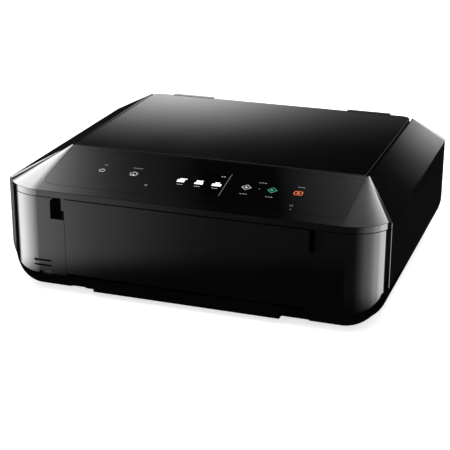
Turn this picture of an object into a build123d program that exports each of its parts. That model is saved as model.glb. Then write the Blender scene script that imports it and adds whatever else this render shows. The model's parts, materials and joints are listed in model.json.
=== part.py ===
from build123d import *
from math import atan2, cos, degrees, hypot, pi, radians, sin, sqrt
import os

# Desktop inkjet all-in-one printer: a body with a paper cassette and a fold-down cover,
# under a hinged scanner unit that carries the sloped operation panel and the document lid.
# Millimetres. X runs to the right, Y to the back and Z up. The origin is on the surface that
# the printer stands on, at the centre of its footprint.

os.makedirs("parts", exist_ok=True)

# ---------------------------------------------------------------- driving dimensions
# overall
width = 455.0
depth = 369.0
height = 148.4
foot_height = 4.0            # rubber feet under the case
wall = 2.5                   # moulded shells
seam = 0.6                   # visible gap between two shells
slack = 0.3                  # least gap between bodies that move past each other
fit_gap = 0.05               # radial gap of a shaft in its bore

half_width = width / 2
front = -depth / 2
back = depth / 2

# outline of the body
corner_radius = 49.7         # front corners, seen from above
corner_turn = 65.0           # how far they turn before the side panel, degrees
side_proud = 4.0             # the side panels stand this far outside the front corners
corner_start = half_width - side_proud - corner_radius * sin(radians(corner_turn))
corner_centre_y = front + corner_radius
side_edge_radius = 1.0       # front edge of a side panel
rear_radius = 24.0           # rear corners, seen from above
side_bottom_radius = 46.0    # bottom edges, seen from the front
front_bottom_radius = 20.0

# levels
body_top = height - 31.2     # top edge of the body's shells
strip_bottom = body_top + 0.9           # the scanner unit starts here
strip_gap = 0.45             # line between the scanner unit's base and its upper shells
strip_top = body_top + 8.3   # the sloped panel and the shoulders start here
slope_top = height - 1.0     # top of the shoulders and of the sloped panel
shoulder_half = half_width - 44.5       # half width between the tops of the shoulders
panel_top_y = front + 107.2  # where the sloped panel meets the lid

# front cover and cassette
cover_half = 144.2
cover_bottom = 24.8
cover_top_gap = 0.4
cover_wall = 2.4
cover_pin_radius = 2.0
recess_outer = cover_half + 17.4        # finger recesses beside the cover
recess_bottom = body_top - 25.2
recess_depth = 14.0
recess_corner = 6.0
cassette_half = 112.0        # paper tray, outside width / 2
cassette_bottom = 7.0
cassette_top = 23.4
cassette_rear = 128.0
cassette_wall = 2.0

# scanner unit
unit_axis_y = back - 8.5
unit_axis_z = body_top - 6.2
shoulder_seam_y = front + 136.9         # between the panel housing and the scanner frame
panel_rear_y = front + 118.5 # the panel housing's rear edge, under the lid
glass_half = shoulder_half - 31.0
glass_front = front + 134.5
glass_rear = back - 20.5
glass_thickness = 3.0

# document lid
lid_half = shoulder_half - 4.0
lid_front = front + 107.5
lid_rear = back - 5.1
lid_bottom = height - 5.8
lid_axis_y = back - 5.5
lid_axis_z = height - 12.9
tab_inner = 93.8             # the lid's two hinge tabs
tab_outer = 150.8

# print mechanism
frame_x = half_width - 19.5  # inner face of the side frames
frame_wall = 2.0
rail_y = 104.0
rail_z = 74.0
rail_radius = 4.0
feed_y = 110.0
roller_z = 52.0
feed_radius = 7.0
feed_half = 108.0
eject_y = 48.0
eject_radius = 6.0
shaft_radius = 3.0
pinch_radius = 4.0
pinch_shaft_radius = 2.0
carriage_home = 138.0
carriage_half = 50.0
carriage_front = 40.0
carriage_bottom = 66.0
carriage_top = 92.0
belt_y = 113.0
belt_z = 81.0
belt_height = 6.0
belt_thickness = 0.8
pulley_radius = 6.0
drive_pulley_x = frame_x - 15.0
idler_pulley_x = 18.0 - frame_x

# gear train
gear_module = 1.0
feed_teeth = 48
pinion_teeth = 12
eject_teeth = 40
gear_width = 6.0
gear_x = 5.0 - frame_x       # middle of the roller gears
tooth_thinning = 0.8         # share of a full tooth that is left, so the gears run with play

# feet
foot_radius = 8.0
foot_spacing = (300.0, 240.0)
foot_recess = 1.5            # how far a foot is let into the floor


# ---------------------------------------------------------------- shared shapes
def block(x, y, z, mode=Mode.ADD):
    """A box between the given pairs of limits, in the open part."""
    size = (x[1] - x[0], y[1] - y[0], z[1] - z[0])
    middle = ((x[0] + x[1]) / 2, (y[0] + y[1]) / 2, (z[0] + z[1]) / 2)
    with Locations(middle):
        Box(*size, mode=mode)


def rod_x(x, y, z, radius, mode=Mode.ADD):
    """A cylinder along X."""
    with Locations(Location(((x[0] + x[1]) / 2, y, z), (0, 90, 0))):
        Cylinder(radius, x[1] - x[0], mode=mode)


def rod_y(x, y, z, radius, mode=Mode.ADD):
    """A cylinder along Y."""
    with Locations(Location((x, (y[0] + y[1]) / 2, z), (90, 0, 0))):
        Cylinder(radius, y[1] - y[0], mode=mode)


def rod_z(x, y, z, radius, mode=Mode.ADD):
    """A cylinder along Z."""
    with Locations((x, y, (z[0] + z[1]) / 2)):
        Cylinder(radius, z[1] - z[0], mode=mode)


def front_corner(inset):
    """End points and centre of a front corner's arc, and the radius it has there."""
    radius = corner_radius - inset
    turn = radians(corner_turn)
    start = (corner_start, corner_centre_y - radius)
    end = (corner_start + radius * sin(turn), corner_centre_y - radius * cos(turn))
    middle = (corner_start + radius * sin(turn / 2), corner_centre_y - radius * cos(turn / 2))
    return start, middle, end


def front_plan(inset, rear_y):
    """The flat front and its two rounded corners, running straight back to rear_y."""
    start, middle, end = front_corner(inset)
    with BuildLine() as outline:
        Line((-start[0], start[1]), start)
        ThreePointArc(start, middle, end)
        Line(end, (end[0], rear_y))
        Line((end[0], rear_y), (-end[0], rear_y))
        Line((-end[0], rear_y), (-end[0], end[1]))
        ThreePointArc((-end[0], end[1]), (-middle[0], middle[1]), (-start[0], start[1]))
    make_face(outline.edges())


crease_y = front_corner(0)[2][1]


def front_form(inset, rear_y, top):
    """The front of the body as one solid, back to rear_y, its walls moved in by inset."""
    with BuildPart() as form:
        with BuildSketch(Plane.XY.offset(foot_height + inset)):
            front_plan(inset, rear_y)
        extrude(amount=top - foot_height - inset)
        low = form.edges().group_by(Axis.Z)[0]
        fillet(low.filter_by(Axis.Y), side_bottom_radius - side_proud - inset)
        low_front = form.edges().filter_by(Axis.X).group_by(Axis.Z)[0].sort_by(Axis.Y)[0]
        fillet(low_front, front_bottom_radius - inset)
    return form.part


def body_form(inset, top):
    """The side panels, the floor and the back as one solid, its walls moved in by inset."""
    bottom = foot_height + inset
    with BuildPart() as form:
        across = (inset - half_width, half_width - inset)
        block(across, (crease_y + inset, back - inset), (bottom, top))
        low = form.edges().filter_by(Axis.Y).group_by(Axis.Z)[0]
        fillet(low, side_bottom_radius - inset)
        upright = form.edges().filter_by(Axis.Z).group_by(Axis.Y)
        fillet(upright[-1], rear_radius - inset)
        upright = form.edges().filter_by(Axis.Z).group_by(Axis.Y)
        fillet(upright[0], side_edge_radius - min(inset, side_edge_radius / 2))
    return form.part


def slope_outline(x_start, y_front, radius, side, y_back, rear):
    """One level of the scanner unit's sloped top: front edge, turned corners, sides and back."""
    turn = radians(corner_turn)
    crease = (x_start + radius * sin(turn), y_front + radius * (1 - cos(turn)))
    middle = (x_start + radius * sin(turn / 2), y_front + radius * (1 - cos(turn / 2)))
    side_front = (side, crease[1] + side_edge_radius)
    rear_middle = rear * (1 - sqrt(0.5))
    with BuildLine() as outline:
        Line((0, y_front), (x_start, y_front))
        ThreePointArc((x_start, y_front), middle, crease)
        Polyline(crease, side_front, (side, y_back - rear))
        ThreePointArc(
            (side, y_back - rear), (side - rear_middle, y_back - rear_middle), (side - rear, y_back)
        )
        Line((side - rear, y_back), (0, y_back))
        mirror(about=Plane.YZ)
    make_face(outline.edges())


def slope_form(drop):
    """The solid under the sloped panel, the shoulders and the flat top, lowered by drop."""
    with BuildPart() as form:
        with BuildSketch(Plane.XY.offset(strip_top - drop)):
            slope_outline(corner_start, front, corner_radius, half_width, back, rear_radius)
        with BuildSketch(Plane.XY.offset(slope_top - drop)):
            slope_outline(
                shoulder_half - 2, panel_top_y, 2, shoulder_half, back - 2, rear_radius / 2
            )
        loft(ruled=True)
    return form.part


def unit_prism(inset, bottom, top):
    """The scanner unit's footprint between two levels, its walls moved in by inset."""
    with BuildPart() as form:
        with BuildSketch(Plane.XY.offset(bottom)):
            front_plan(inset, 0)
        extrude(amount=top - bottom)
        with BuildSketch(Plane.XY.offset(bottom)):
            with Locations((0, (crease_y + back) / 2)):
                Rectangle(2 * (half_width - inset), back - crease_y - 2 * inset)
        extrude(amount=top - bottom)
        upright = form.edges().filter_by(Axis.Z)
        fillet(upright.group_by(Axis.Y)[-1], rear_radius - inset)
        corners = upright.group_by(Axis.X)
        proud = [corners[0].sort_by(Axis.Y)[0], corners[-1].sort_by(Axis.Y)[0]]
        fillet(proud, side_edge_radius - min(inset, side_edge_radius / 2))
    return form.part


def gear(x, y, z, teeth, bore, turn=0.0):
    """A spur gear on an axis along X. A tooth points along +Y when turn is 0."""
    pitch = gear_module * teeth / 2
    root = pitch - 1.2 * gear_module
    tip = pitch + 0.9 * gear_module
    base_half = tooth_thinning * 0.52 * pi * gear_module / 2
    tip_half = tooth_thinning * 0.22 * pi * gear_module / 2
    with BuildPart() as wheel:
        with BuildSketch(Plane.YZ.offset(x - gear_width / 2)):
            with Locations((y, z)):
                Circle(root)
                with PolarLocations(0, teeth, start_angle=turn):
                    Polygon(
                        (0, -base_half), (root, -base_half), (tip, -tip_half),
                        (tip, tip_half), (root, base_half), (0, base_half), align=None
                    )
                Circle(bore, mode=Mode.SUBTRACT)
        extrude(amount=gear_width)
    return wheel.part


# ---------------------------------------------------------------- body shells
wall_top = unit_axis_z - 1.0        # rear walls stay under the swing of the scanner unit
floor_top = foot_height + wall
floor_half = half_width - side_bottom_radius
body_front = crease_y               # the floor and the side panels start here
rear_half = floor_half - slack

for side, name in ((-1, "left"), (1, "right")):
    with BuildPart() as side_cover:
        add(body_form(0, body_top))
        add(body_form(wall, body_top + 1), mode=Mode.SUBTRACT)
        reach = sorted((side * floor_half, side * half_width))
        block(reach, (body_front, back), (foot_height, body_top), Mode.INTERSECT)
        block((-half_width, half_width), (unit_axis_y - 8, back), (wall_top, body_top), Mode.SUBTRACT)
    side_cover.part.label = "side_cover_" + name
    export_step(side_cover.part, "parts/side_cover_" + name + ".step")

corner_inner = cover_half + slack + 0.2
return_wall = 2.5
cover_axis_y = front + 3.6
cover_axis_z = cover_bottom + 4.4
slot_left = -185.0                  # memory card slots, low on the left front corner
slot_right = -163.0
slot_height = 2.2
large_slot_x = (-179.0, -163.0)
large_slot_z = (20.0, 26.5)
card_slot_z = 38.6
small_slot_z = 32.4

for side, name in ((-1, "left"), (1, "right")):
    inner = sorted((side * corner_inner, side * (corner_inner + return_wall)))
    keep = sorted((side * corner_inner, side * half_width))
    pocket = sorted((side * corner_inner, side * recess_outer))
    pocket_wall = sorted((side * corner_inner, side * (recess_outer + return_wall)))
    corner_rear = crease_y - slack
    # wall beside the cover
    with BuildPart() as inside:
        add(front_form(0.1, 0, body_top))
        block(inner, (front, corner_rear), (foot_height, body_top), Mode.INTERSECT)
    with BuildPart() as front_corner_piece:
        add(front_form(0, 0, body_top))
        add(front_form(wall, 0, body_top + 1), mode=Mode.SUBTRACT)
        add(inside.part)
        block(
            pocket_wall, (front + wall, front + recess_depth + return_wall),
            (recess_bottom - return_wall, body_top)
        )
        block(keep, (front, corner_rear), (0, body_top), Mode.INTERSECT)
        with BuildSketch(Plane.XZ.offset(-front)) as recess:
            middle = (sum(pocket) / 2, (recess_bottom + body_top) / 2)
            with Locations(middle):
                Rectangle(pocket[1] - pocket[0], body_top - recess_bottom)
            low_corners = recess.vertices().group_by(Axis.Z)[0].sort_by(Axis.X)
            fillet(low_corners[0] if side < 0 else low_corners[-1], recess_corner)
        extrude(amount=-recess_depth, mode=Mode.SUBTRACT)
        rod_x(inner, cover_axis_y, cover_axis_z, cover_pin_radius + fit_gap, Mode.SUBTRACT)
        if name == "left":
            for z in (card_slot_z, small_slot_z):
                block(
                    (slot_left, slot_right), (front, front + 2 * wall), (z, z + slot_height),
                    Mode.SUBTRACT
                )
            block(large_slot_x, (front, front + 2 * wall), large_slot_z, Mode.SUBTRACT)
    front_corner_piece.part.label = "front_corner_" + name
    export_step(front_corner_piece.part, "parts/front_corner_" + name + ".step")

# floor of the body, with the two rails that guide the cassette
rail_gap = 0.8
rail_inner = cassette_half + rail_gap
with BuildPart() as bottom_case:
    block((-rear_half, rear_half), (body_front, back - rear_radius), (foot_height, floor_top))
    for side in (-1, 1):
        rail = sorted((side * rail_inner, side * (rail_inner + 3)))
        block(rail, (body_front + 5, cassette_rear + 2), (floor_top, 24.0))
    stop_y = cassette_rear + 1.0
    block((-rail_inner, rail_inner), (stop_y, stop_y + 3), (floor_top, 22.0))
    with GridLocations(*foot_spacing, 2, 2):
        with Locations((0, 0, foot_height)):
            Cylinder(foot_radius, 2 * foot_recess, mode=Mode.SUBTRACT)
bottom_case.part.label = "bottom_case"
export_step(bottom_case.part, "parts/bottom_case.step")

with BuildPart() as rubber_feet:
    with BuildSketch(Plane.XY):
        with GridLocations(*foot_spacing, 2, 2):
            Circle(foot_radius)
    extrude(amount=foot_height + foot_recess)
rubber_feet.part.label = "rubber_feet"
export_step(rubber_feet.part, "parts/rubber_feet.step")

# ---------------------------------------------------------------- rear cover and door
door_half = 150.0
door_bottom = 31.0
door_top = 84.0
door_edge_radius = 2.3
door_axis_y = back - 3.5
door_axis_z = door_bottom + 3.5
rear_inner = back - wall
hinge_inner = 150.0                 # scanner unit hinges, from the middle
lug_width = 8.0
hinge_radius = 5.0
hinge_pin_radius = 3.0
inlet_x = -170.0
inlet_z = 44.0
inlet_size = (23.0, 15.0)
usb_x = 168.0

with BuildPart() as rear_cover:
    add(body_form(0, body_top))
    add(body_form(wall, body_top + 1), mode=Mode.SUBTRACT)
    block(
        (-rear_half, rear_half), (back - rear_radius + slack, back), (foot_height, wall_top),
        Mode.INTERSECT
    )
    opening = (-door_half - slack, door_half + slack)
    block(opening, (rear_inner, back), (door_bottom - seam, door_top + slack), Mode.SUBTRACT)
    block(
        (inlet_x - inlet_size[0] / 2, inlet_x + inlet_size[0] / 2), (rear_inner, back),
        (inlet_z - inlet_size[1] / 2, inlet_z + inlet_size[1] / 2), Mode.SUBTRACT
    )
    block((usb_x - 6.5, usb_x + 6.5), (rear_inner, back), (inlet_z - 6, inlet_z + 6), Mode.SUBTRACT)
    for side in (-1, 1):
        # bracket and pin of a scanner unit hinge
        bracket = sorted((side * (hinge_inner + lug_width + slack), side * (hinge_inner + 2 * lug_width)))
        block(bracket, (unit_axis_y - 2, rear_inner), (wall_top - 9, wall_top))
        rod_x(bracket, unit_axis_y, unit_axis_z, hinge_radius)
        pin = sorted((side * (hinge_inner - 1), side * (hinge_inner + lug_width + 1)))
        rod_x(pin, unit_axis_y, unit_axis_z, hinge_pin_radius)
        # ears and pins of the rear door
        ear = sorted((side * (door_half + slack), side * (door_half + 4)))
        block(ear, (door_axis_y - 4, rear_inner), (door_axis_z - 4, door_axis_z + 4))
        pin = sorted((side * (door_half - 5), side * (door_half + 2)))
        rod_x(pin, door_axis_y, door_axis_z, 1.5)
    for row in range(5):
        for side in (-1, 1):
            vent_z = 91.0 + 3.5 * row
            vent = sorted((side * 20, side * 90))
            block(vent, (rear_inner, back), (vent_z, vent_z + 1.5), Mode.SUBTRACT)
rear_cover.part.label = "rear_cover"
export_step(rear_cover.part, "parts/rear_cover.step")

# turns the paper round: ribs stand on its inner face
rib_reach = 24.0
with BuildPart() as rear_door:
    block((-door_half, door_half), (rear_inner, back), (door_bottom, door_top))
    for side in (-1, 1):
        block(
            sorted((side * (door_half - 6), side * (door_half - 1.5))),
            (door_axis_y - 3, rear_inner), (door_bottom + 0.5, door_axis_z + 4)
        )
    for rib in range(-4, 5):
        with BuildSketch(Plane.YZ.offset(rib * 26.0 - 1)):
            with BuildLine() as rib_outline:
                Line((rear_inner, 44), (rear_inner, 80))
                Line((rear_inner, 80), (rear_inner - 5, 78))
                ThreePointArc(
                    (rear_inner - 5, 78), (rear_inner - 8, 61), (rear_inner - rib_reach, 46)
                )
                Line((rear_inner - rib_reach, 46), (rear_inner - rib_reach, 44))
                Line((rear_inner - rib_reach, 44), (rear_inner, 44))
            make_face(rib_outline.edges())
        extrude(amount=2)
    rod_x((-door_half, door_half), door_axis_y, door_axis_z, 1.5 + fit_gap, Mode.SUBTRACT)
    # the skin closes the bore, and its lower edge is rounded so that it turns in its opening
    block((-door_half, door_half), (rear_inner + 0.9, back), (door_bottom, door_top))
    lower_edge = rear_door.edges().filter_by(Axis.X).group_by(Axis.Z)[0].sort_by(Axis.Y)[-1]
    fillet(lower_edge, door_edge_radius)
rear_door.part.label = "rear_door"
export_step(rear_door.part, "parts/rear_door.step")

# mains inlet: a figure-of-eight socket open to the back
with BuildPart() as power_inlet:
    block(
        (inlet_x - inlet_size[0] / 2 + 0.2, inlet_x + inlet_size[0] / 2 - 0.2), (back - 22, back - 0.5),
        (inlet_z - inlet_size[1] / 2 + 0.2, inlet_z + inlet_size[1] / 2 - 0.2)
    )
    with BuildSketch(Plane.XZ.offset(-back + 0.5)):
        with Locations((inlet_x - 4, inlet_z), (inlet_x + 4, inlet_z)):
            Circle(4.4)
        with Locations((inlet_x, inlet_z)):
            Rectangle(8, 7)
    extrude(amount=14, mode=Mode.SUBTRACT)
    for side in (-1, 1):
        rod_y(inlet_x + side * 4.3, (back - 15, back - 4), inlet_z, 1.2)
power_inlet.part.label = "power_inlet"
export_step(power_inlet.part, "parts/power_inlet.step")

# ---------------------------------------------------------------- front cover
cover_top = body_top - cover_top_gap
extension_half = 92.0
extension_top = 96.0
extension_bottom = 40.0
extension_wall = 1.8

with BuildPart() as front_cover:
    add(front_form(0, 0, cover_top))
    add(front_form(cover_wall, 0, cover_top + 1), mode=Mode.SUBTRACT)
    block((-cover_half, cover_half), (front, front + 9), (cover_bottom, cover_top), Mode.INTERSECT)
    lower_edge = front_cover.edges().filter_by(Axis.X).group_by(Axis.Z)[0].sort_by(Axis.Y)[0]
    fillet(lower_edge, 1.5)
    # stiffening rim and hinge pins
    rim_y = (front + cover_wall, front + 7)
    for side in (-1, 1):
        block(sorted((side * cover_half, side * (cover_half - 2))), rim_y, (cover_bottom + 2, cover_top))
        pin = sorted((side * (cover_half - 3), side * (corner_inner + return_wall)))
        rod_x(pin, cover_axis_y, cover_axis_z, cover_pin_radius)
        # runners that hold the output extension
        runner = sorted((side * (extension_half + slack), side * (extension_half + 4)))
        block(runner, rim_y, (cover_bottom + 10, extension_top))
        lip = sorted((side * (extension_half - 3), side * (extension_half + 4)))
        block(lip, (front + 5.4, front + 7), (cover_bottom + 10, extension_top))
        # the rim's top stops beside the extension, which slides out between
        rim_top = sorted((side * (extension_half + slack), side * cover_half))
        block(rim_top, rim_y, (cover_top - 2, cover_top))
front_cover.part.label = "front_cover"
export_step(front_cover.part, "parts/front_cover.step")

# slides out of the cover when the cover is down, to catch the sheets
with BuildPart() as output_extension:
    plate_y = (front + cover_wall + slack, front + cover_wall + slack + extension_wall)
    block((-extension_half, extension_half), plate_y, (extension_bottom, extension_top))
    block((-30, 30), (plate_y[0], plate_y[1]), (extension_top - 8, extension_top), Mode.SUBTRACT)
    for rib in range(-2, 3):
        block(
            (rib * 30 - 1, rib * 30 + 1), (plate_y[1], plate_y[1] + 1.2),
            (extension_bottom, extension_top - 10)
        )
output_extension.part.label = "output_extension"
export_step(output_extension.part, "parts/output_extension.step")

# ---------------------------------------------------------------- paper cassette
tray_front = crease_y - 1.0
notch_left = (-145.1, -124.0)       # finger notches under the front lip
notch_right = (107.8, 146.6)
notch_top = 9.5
with BuildPart() as cassette:
    add(front_form(0, 0, body_top))
    add(front_form(wall, 0, body_top + 1), mode=Mode.SUBTRACT)
    block((-cover_half, cover_half), (front, tray_front), (foot_height, cassette_top), Mode.INTERSECT)
    for notch in (notch_left, notch_right):
        block(notch, (front, tray_front), (foot_height, notch_top), Mode.SUBTRACT)
    # tray behind the lip
    tray_y = (front + wall, cassette_rear)
    block((-cassette_half, cassette_half), tray_y, (cassette_bottom, cassette_top - 1.4))
    block(
        (-cassette_half + cassette_wall, cassette_half - cassette_wall),
        (tray_y[0] + cassette_wall, tray_y[1] - cassette_wall),
        (cassette_bottom + cassette_wall, cassette_top), Mode.SUBTRACT
    )
cassette.part.label = "cassette"
export_step(cassette.part, "parts/cassette.step")

# the paper guides' racks meet one pinion on the middle of the tray's floor
guide_y = -40.0
guide_base = cassette_bottom + cassette_wall + slack
guide_pinion_teeth = 14
guide_module = 1.2
guide_pitch = guide_module * guide_pinion_teeth / 2
rack_height = 3.0
guide_x = cassette_half - 12.0      # inner faces of the guides, from the middle
guide_top = 21.0
rack_pitch = pi * guide_module
for side, name in ((-1, "left"), (1, "right")):
    rack_back = side * (guide_pitch + 1.5 * guide_module)
    with BuildPart() as guide:
        plate = sorted((side * guide_x, side * (guide_x + 2)))
        block(plate, (guide_y - 55, guide_y + 55), (guide_base, guide_top))
        foot = sorted((side * (guide_x - 16), side * (guide_x + 2)))
        block(foot, (guide_y - 55, guide_y + 55), (guide_base, guide_base + 1.2))
        bar_x = sorted((side * (guide_x + 2), -side * 52))
        bar_y = sorted((guide_y + rack_back, guide_y + rack_back + side * 6))
        block(bar_x, bar_y, (guide_base, guide_base + rack_height))
        # the other guide's rack slides through a tunnel
        far_y = sorted((guide_y - side * (guide_pitch - 2), guide_y - rack_back - side * 7))
        block(foot, far_y, (guide_base, guide_base + rack_height + 0.5), Mode.SUBTRACT)
        # teeth point at the pinion; a gap faces its middle at rest
        first = -int(48 / rack_pitch)
        last = int(60 / rack_pitch)
        for tooth in range(first, last):
            x = side * (tooth + 0.5) * rack_pitch
            base = guide_y + rack_back
            tip = guide_y + side * (guide_pitch - 0.8 * guide_module)
            half_base = 0.27 * rack_pitch * tooth_thinning
            half_tip = 0.12 * rack_pitch * tooth_thinning
            with BuildSketch(Plane.XY.offset(guide_base)):
                Polygon(
                    (x - half_base, base + side * 0.2), (x - half_base, base), (x - half_tip, tip),
                    (x + half_tip, tip), (x + half_base, base), (x + half_base, base + side * 0.2),
                    align=None
                )
            extrude(amount=rack_height)
    guide.part.label = "side_guide_" + name
    export_step(guide.part, "parts/side_guide_" + name + ".step")

with BuildPart() as guide_pinion:
    root = guide_pitch - 1.3 * guide_module
    tip = guide_pitch + 0.8 * guide_module
    base_half = 0.27 * rack_pitch * tooth_thinning
    tip_half = 0.12 * rack_pitch * tooth_thinning
    with BuildSketch(Plane.XY.offset(guide_base)):
        with Locations((0, guide_y)):
            Circle(root)
            with PolarLocations(0, guide_pinion_teeth, start_angle=90):
                Polygon(
                    (0, -base_half), (root, -base_half), (tip, -tip_half),
                    (tip, tip_half), (root, base_half), (0, base_half), align=None
                )
    extrude(amount=rack_height)
guide_pinion.part.label = "guide_pinion"
export_step(guide_pinion.part, "parts/guide_pinion.step")

# output sheets rest on this shelf above the cassette
with BuildPart() as output_tray:
    block((-rail_inner - 2, rail_inner + 2), (body_front + 2, 38), (24.2, 26.2))
    for rib in range(-3, 4):
        block((rib * 30 - 1, rib * 30 + 1), (body_front + 2, 36), (26.2, 27.6))
output_tray.part.label = "output_tray"
export_step(output_tray.part, "parts/output_tray.step")

# ---------------------------------------------------------------- print mechanism
bearing = shaft_radius + fit_gap
feed_pitch = gear_module * feed_teeth / 2
eject_pitch = gear_module * eject_teeth / 2
idler_pitch = (feed_y - eject_y - feed_pitch - eject_pitch) / 2
idler_teeth = round(2 * idler_pitch / gear_module)
idler_y = feed_y - feed_pitch - idler_pitch
pinion_z = roller_z - feed_pitch - gear_module * pinion_teeth / 2
stub_radius = 2.5
frame_top = 108.0
shaft_end = frame_x + frame_wall

with BuildPart() as side_frames:
    for side in (-1, 1):
        plate = sorted((side * frame_x, side * (frame_x + frame_wall)))
        block(plate, (30, 134), (18, frame_top))
        flange = sorted((side * 174, side * (frame_x + frame_wall)))
        block(flange, (30, 48), (18, 20))
        block(flange, (126, 134), (18, 20))
        leg = sorted((side * 174, side * 176))
        block(leg, (30, 48), (floor_top, 20))
        block(leg, (126, 134), (floor_top, 20))
        rod_x(plate, eject_y, roller_z, bearing, Mode.SUBTRACT)
    rod_x((-shaft_end, -frame_x), feed_y, roller_z, bearing, Mode.SUBTRACT)
    rod_x((frame_x, shaft_end), rail_y, rail_z, rail_radius, Mode.SUBTRACT)
    stub = (-frame_x, gear_x + gear_width / 2 + 1)
    rod_x(stub, idler_y, roller_z, stub_radius)
side_frames.part.label = "side_frames"
export_step(side_frames.part, "parts/side_frames.step")

rail_end = gear_x + gear_width / 2 + 2     # the rail and the plate stop beside the gears
with BuildPart() as carriage_rail:
    rod_x((rail_end, shaft_end), rail_y, rail_z, rail_radius)
carriage_rail.part.label = "carriage_rail"
export_step(carriage_rail.part, "parts/carriage_rail.step")

plate_y = (121.0, 122.5)
strip_y = 112.5
strip_z = (96.0, 104.0)
strip_half = 196.0
pinch_y = feed_y
pinch_z = roller_z + feed_radius + slack + pinch_radius
hook_half = 117.0
with BuildPart() as chassis_plate:
    block((-frame_x, frame_x), plate_y, (66, 109))
    block((-frame_x, rail_end), plate_y, (66, 80), Mode.SUBTRACT)
    block((-frame_x, frame_x), (plate_y[1], 134), (107.5, 109))
    # bracket of the rail's left end, and post of the idler pulley
    bracket = (rail_end, rail_end + 2)
    block(bracket, (rail_y - 6, plate_y[0]), (rail_z - 6, rail_z + 5.5))
    rod_x(bracket, rail_y, rail_z, rail_radius, Mode.SUBTRACT)
    post_z = belt_z - 5
    block((idler_pulley_x - 6, idler_pulley_x + 6), (belt_y - 4, plate_y[0]), (post_z, post_z + 2))
    rod_z(idler_pulley_x, belt_y, (post_z, belt_z + belt_height), 1.5)
    block((-140, 140), (plate_y[0], plate_y[1]), (88, 102), Mode.SUBTRACT)
    for side in (-1, 1):
        strip_end = sorted((side * strip_half, side * (strip_half + 2)))
        block(strip_end, (strip_y - 3, plate_y[1]), (strip_z[0] - 1, strip_z[1] + 1))
        hook = sorted((side * hook_half, side * (hook_half + 2)))
        block(hook, (pinch_y - 4, plate_y[1]), (pinch_z - 3.6, pinch_z + 3.2))
        block(hook, (plate_y[0] - 6, plate_y[1]), (pinch_z - 3.6, 68))
        rod_x(hook, pinch_y, pinch_z, pinch_shaft_radius + fit_gap, Mode.SUBTRACT)
    # the right hook also carries the feed roller
    right_hook = (hook_half, hook_half + 2)
    block(right_hook, (feed_y - 6, plate_y[1]), (roller_z - 6, pinch_z - 3))
    rod_x(right_hook, feed_y, roller_z, bearing, Mode.SUBTRACT)
    screw_at = [(x, z) for x in (-160, 0, 160) for z in (70.5, 104)]
    for x, z in screw_at:
        rod_y(x, plate_y, z, 1.5, Mode.SUBTRACT)
chassis_plate.part.label = "chassis_plate"
export_step(chassis_plate.part, "parts/chassis_plate.step")

with BuildPart() as chassis_screws:
    for x, z in screw_at:
        rod_y(x, (plate_y[0] - 1, plate_y[1]), z, 1.5)
        rod_y(x, (plate_y[1], plate_y[1] + 2), z, 3.0)
chassis_screws.part.label = "chassis_screws"
export_step(chassis_screws.part, "parts/chassis_screws.step")

with BuildPart() as encoder_strip:
    block((-strip_half, strip_half), (strip_y - 0.25, strip_y + 0.25), strip_z)
encoder_strip.part.label = "encoder_strip"
export_step(encoder_strip.part, "parts/encoder_strip.step")

# rollers and their gears
with BuildPart() as feed_roller:
    rod_x((-shaft_end, hook_half + 4), feed_y, roller_z, shaft_radius)
    rod_x((-feed_half, feed_half), feed_y, roller_z, feed_radius)
feed_roller.part.label = "feed_roller"
export_step(feed_roller.part, "parts/feed_roller.step")

feed_gear = gear(gear_x, feed_y, roller_z, feed_teeth, shaft_radius, turn=270)
feed_gear.label = "feed_gear"
export_step(feed_gear, "parts/feed_gear.step")

with BuildPart() as eject_roller:
    rod_x((-shaft_end, shaft_end), eject_y, roller_z, shaft_radius)
    for disc in range(-3, 4):
        rod_x((disc * 30 - 5, disc * 30 + 5), eject_y, roller_z, eject_radius)
    add(gear(gear_x, eject_y, roller_z, eject_teeth, shaft_radius - 1))
eject_roller.part.label = "eject_roller"
export_step(eject_roller.part, "parts/eject_roller.step")

idler_gear = gear(gear_x, idler_y, roller_z, idler_teeth, stub_radius + fit_gap, turn=180 / idler_teeth)
idler_gear.label = "idler_gear"
export_step(idler_gear, "parts/idler_gear.step")

motor_pinion = gear(gear_x, feed_y, pinion_z, pinion_teeth, 1.5, turn=90 + 180 / pinion_teeth)
motor_pinion.label = "motor_pinion"
export_step(motor_pinion, "parts/motor_pinion.step")

with BuildPart() as feed_motor:
    motor_x = (gear_x + gear_width / 2 + 3, gear_x + gear_width / 2 + 30)
    rod_x(motor_x, feed_y, pinion_z, 12.0)
    rod_x((gear_x + gear_width / 2 + 1, motor_x[0]), feed_y, pinion_z, 4.0)
    block((motor_x[0], motor_x[0] + 1.5), (feed_y - 16, feed_y + 16), (floor_top + 3.5, pinion_z))
    rod_x((gear_x - gear_width / 2, gear_x + gear_width / 2 + 1), feed_y, pinion_z, 1.5 - fit_gap)
feed_motor.part.label = "feed_motor"
export_step(feed_motor.part, "parts/feed_motor.step")

with BuildPart() as pinch_rollers:
    rod_x((-hook_half - 3, hook_half + 3), pinch_y, pinch_z, pinch_shaft_radius)
    for roller in range(-2, 3):
        rod_x((roller * 44 - 14, roller * 44 + 14), pinch_y, pinch_z, pinch_radius)
pinch_rollers.part.label = "pinch_rollers"
export_step(pinch_rollers.part, "parts/pinch_rollers.step")

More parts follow.
